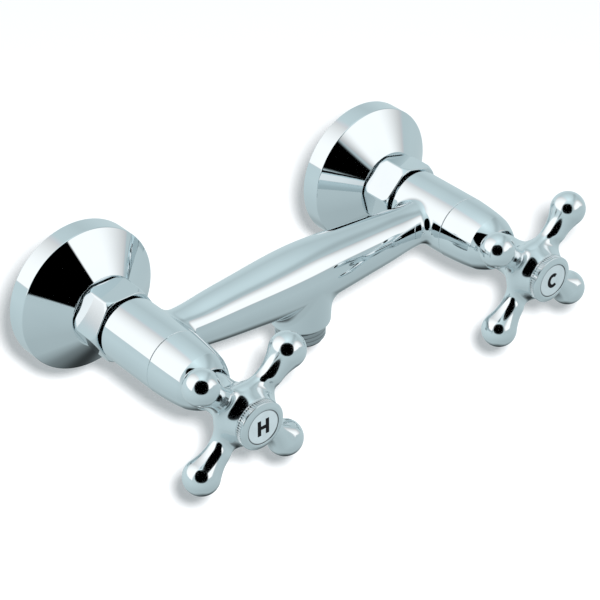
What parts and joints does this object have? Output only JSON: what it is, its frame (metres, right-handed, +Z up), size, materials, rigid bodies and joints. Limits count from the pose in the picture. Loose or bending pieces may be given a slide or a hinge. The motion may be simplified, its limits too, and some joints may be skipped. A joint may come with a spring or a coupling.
{
  "type": "shower mixer tap",
  "caption": "Wall-mounted shower mixer with round wall flanges, a swelling cross bar, domed valve shrouds, ball-ended cross handles and a threaded hose outlet underneath.",
  "frame": {"origin": "on the wall surface, midway between the two inlets, at the height of the valve axes", "axes": "+X from the hot side to the cold side, +Y into the wall, +Z up"},
  "size_m": [0.212, 0.1333, 0.062],
  "materials": {
    "chrome_body": "mirror-bright chromium plate on cast brass",
    "chrome_flange": "mirror-bright chromium plate on pressed sheet",
    "chrome_nut": "mirror-bright chromium plate",
    "chrome_fitting": "chromium plate over machined thread",
    "chrome_shroud": "mirror-bright chromium plate",
    "chrome_handle": "mirror-bright chromium plate on a casting",
    "chrome_ring": "mirror-bright chromium plate, finely knurled outside",
    "index_face": "pale grey, satin",
    "brass": "turned, unplated",
    "steel": "stainless",
    "rubber": "matt black",
    "fibre": "pressed fibre",
    "ceramic": "lapped",
    "slip_plastic": "slippery white plastic"
  },
  "bodies": {
    "mixer": {"mixer_body": "chrome_body", "outlet_nipple": "chrome_fitting", "outlet_seal": "rubber", "hot_wall_flange": "chrome_flange", "hot_offset_union": "chrome_fitting", "hot_union_washer": "rubber", "hot_strainer": "steel", "hot_inlet_tail": "chrome_fitting", "hot_union_nut": "chrome_nut", "hot_bonnet_gasket": "fibre", "hot_bonnet": "brass", "hot_seat_seal": "rubber", "hot_fixed_disc": "ceramic", "hot_friction_washer": "slip_plastic", "hot_shroud": "chrome_shroud", "cold_wall_flange": "chrome_flange", "cold_offset_union": "chrome_fitting", "cold_union_washer": "rubber", "cold_strainer": "steel", "cold_inlet_tail": "chrome_fitting", "cold_union_nut": "chrome_nut", "cold_bonnet_gasket": "fibre", "cold_bonnet": "brass", "cold_seat_seal": "rubber", "cold_fixed_disc": "ceramic", "cold_friction_washer": "slip_plastic", "cold_shroud": "chrome_shroud"},
    "hot_valve": {"hot_moving_disc": "ceramic", "hot_spindle": "brass", "hot_spindle_rings": "rubber", "hot_spindle_clip": "steel", "hot_handle": "chrome_handle", "hot_handle_screw": "steel", "hot_index_ring": "chrome_ring", "hot_index_disc": "index_face"},
    "cold_valve": {"cold_moving_disc": "ceramic", "cold_spindle": "brass", "cold_spindle_rings": "rubber", "cold_spindle_clip": "steel", "cold_handle": "chrome_handle", "cold_handle_screw": "steel", "cold_index_ring": "chrome_ring", "cold_index_disc": "index_face"}
  },
  "joints": [
    {"name": "hot_turn", "type": "hinge", "parent": "mixer", "child": "hot_valve", "pos_m": [-0.075, -0.07, 0], "axis": [0, -1, 0], "range_deg": [0, 90]},
    {"name": "cold_turn", "type": "hinge", "parent": "mixer", "child": "cold_valve", "pos_m": [0.075, -0.07, 0], "axis": [0, -1, 0], "range_deg": [0, 90]}
  ]
}
